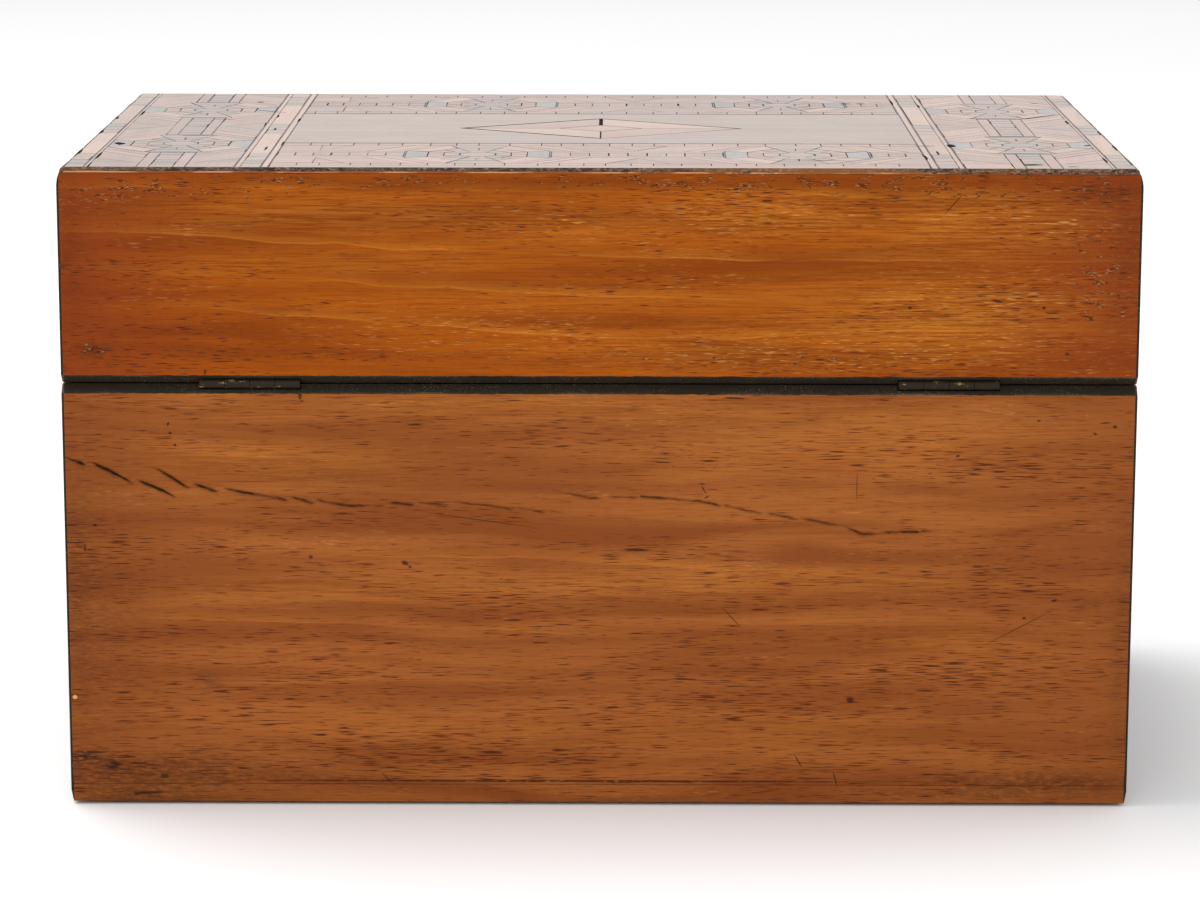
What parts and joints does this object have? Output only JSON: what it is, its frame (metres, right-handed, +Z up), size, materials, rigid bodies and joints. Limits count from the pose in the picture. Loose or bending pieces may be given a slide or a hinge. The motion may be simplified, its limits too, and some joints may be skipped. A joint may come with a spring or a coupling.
{
  "type": "tunbridge ware box",
  "caption": "Rectangular hinged wooden box with varnished back, bevelled back joint, brass butt hinges and a geometric inlaid lid; hollow and empty, on low stud feet.",
  "frame": {"origin": "under the middle of the box, at the level of the feet's soles", "axes": "+Z up, +Y towards the hinged back, +X to the right of a person facing the front"},
  "size_m": [0.3048, 0.1914, 0.1852],
  "materials": {
    "varnished_back_wood": "worn orange-brown varnish over pored wood, grain along X",
    "carcass_wood": "plain aged wood, thin polish",
    "dark_veneer": "dark polished veneer",
    "foot_wood": "dark worn wood",
    "inlay_band_wood": "polished inlay, grey and pink blocks between stringing",
    "inlay_panel_wood": "polished inlay, pinkish geometric pattern",
    "inlay_centre_wood": "polished plain veneer",
    "inlay_pale_wood": "polished pale veneer",
    "hinge_brass": "dark patinated brass with bright rubbed spots",
    "screw_steel": "dulled iron"
  },
  "bodies": {
    "base": {"base_back_board": "varnished_back_wood", "base_front_board": "carcass_wood", "base_left_board": "carcass_wood", "base_right_board": "carcass_wood", "base_bottom_board": "carcass_wood", "base_front_veneer": "dark_veneer", "base_left_veneer": "dark_veneer", "base_right_veneer": "dark_veneer", "foot_front_left": "foot_wood", "foot_front_right": "foot_wood", "foot_back_left": "foot_wood", "foot_back_right": "foot_wood", "hinge_left_base_leaf": "hinge_brass", "hinge_right_base_leaf": "hinge_brass", "hinge_left_pin": "hinge_brass", "hinge_right_pin": "hinge_brass", "hinge_left_base_screw_1": "screw_steel", "hinge_left_base_screw_2": "screw_steel", "hinge_right_base_screw_1": "screw_steel", "hinge_right_base_screw_2": "screw_steel"},
    "lid": {"lid_back_board": "varnished_back_wood", "lid_front_board": "carcass_wood", "lid_left_board": "carcass_wood", "lid_right_board": "carcass_wood", "lid_top_board": "carcass_wood", "lid_front_veneer": "dark_veneer", "lid_left_veneer": "dark_veneer", "lid_right_veneer": "dark_veneer", "inlay_left_edge_band": "inlay_band_wood", "inlay_left_panel": "inlay_panel_wood", "inlay_left_cross_band": "inlay_band_wood", "inlay_front_band": "inlay_panel_wood", "inlay_centre_panel": "inlay_centre_wood", "inlay_back_band": "inlay_panel_wood", "inlay_right_cross_band": "inlay_band_wood", "inlay_right_panel": "inlay_panel_wood", "inlay_right_edge_band": "inlay_band_wood", "inlay_lozenge_front_left": "inlay_pale_wood", "inlay_lozenge_front_right": "inlay_panel_wood", "inlay_lozenge_back_left": "inlay_panel_wood", "inlay_lozenge_back_right": "inlay_pale_wood", "inlay_lozenge_centre": "inlay_pale_wood", "hinge_left_lid_leaf": "hinge_brass", "hinge_right_lid_leaf": "hinge_brass", "hinge_left_lid_screw_1": "screw_steel", "hinge_left_lid_screw_2": "screw_steel", "hinge_right_lid_screw_1": "screw_steel", "hinge_right_lid_screw_2": "screw_steel"}
  },
  "joints": [
    {"name": "lid_hinge", "type": "hinge", "parent": "base", "child": "lid", "pos_m": [0, 0.09425, 0.1234], "axis": [-1, 0, 0], "range_deg": [0, 115]}
  ]
}
